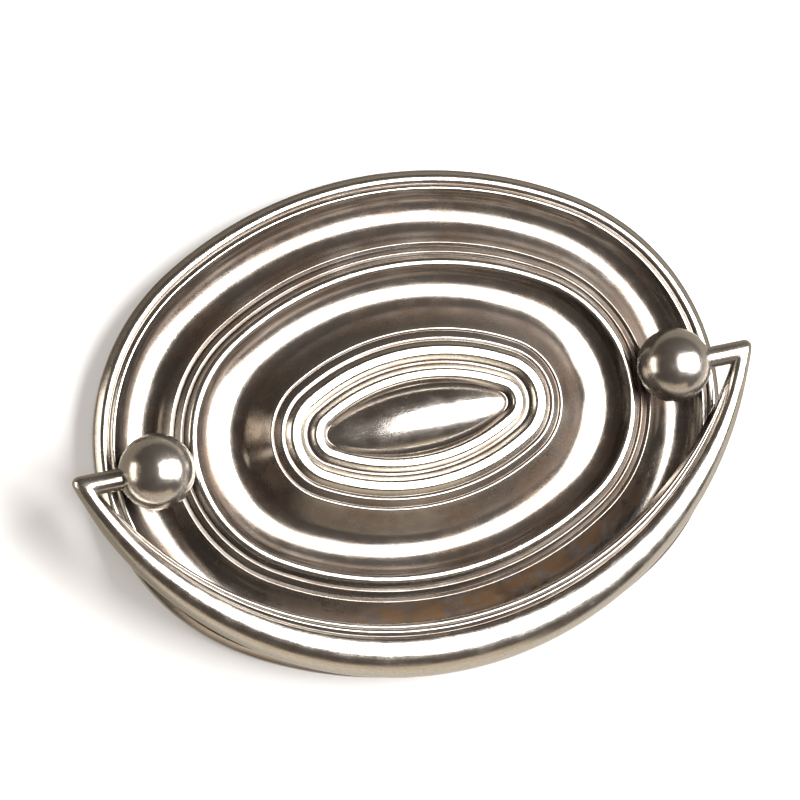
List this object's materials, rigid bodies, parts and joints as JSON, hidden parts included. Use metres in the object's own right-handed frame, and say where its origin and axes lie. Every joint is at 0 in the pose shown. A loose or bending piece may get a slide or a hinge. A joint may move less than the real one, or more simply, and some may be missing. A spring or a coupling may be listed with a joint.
{
  "type": "bail pull",
  "caption": "Oval drawer pull with concentric mouldings on its plate, ball-headed posts at the ends and a crescent bail that swings on them.",
  "frame": {"origin": "midway between the two fixing holes, in the plane of the plate's back", "axes": "+X from the left post to the right post, +Z out of the drawer front, the bail hangs towards -Y"},
  "size_m": [0.084, 0.0607, 0.0112],
  "materials": {
    "antique_nickel": "antique nickel plate on brass, polished on the raised mouldings, brown tarnish in the hollows"
  },
  "bodies": {
    "plate": {"backplate": "antique_nickel", "left_post": "antique_nickel", "right_post": "antique_nickel"},
    "bail": {"bail": "antique_nickel"}
  },
  "joints": [
    {"name": "bail_swing", "type": "hinge", "parent": "plate", "child": "bail", "pos_m": [0, 0, 0.0067], "axis": [-1, 0, 0], "range_deg": [0, 188]}
  ]
}
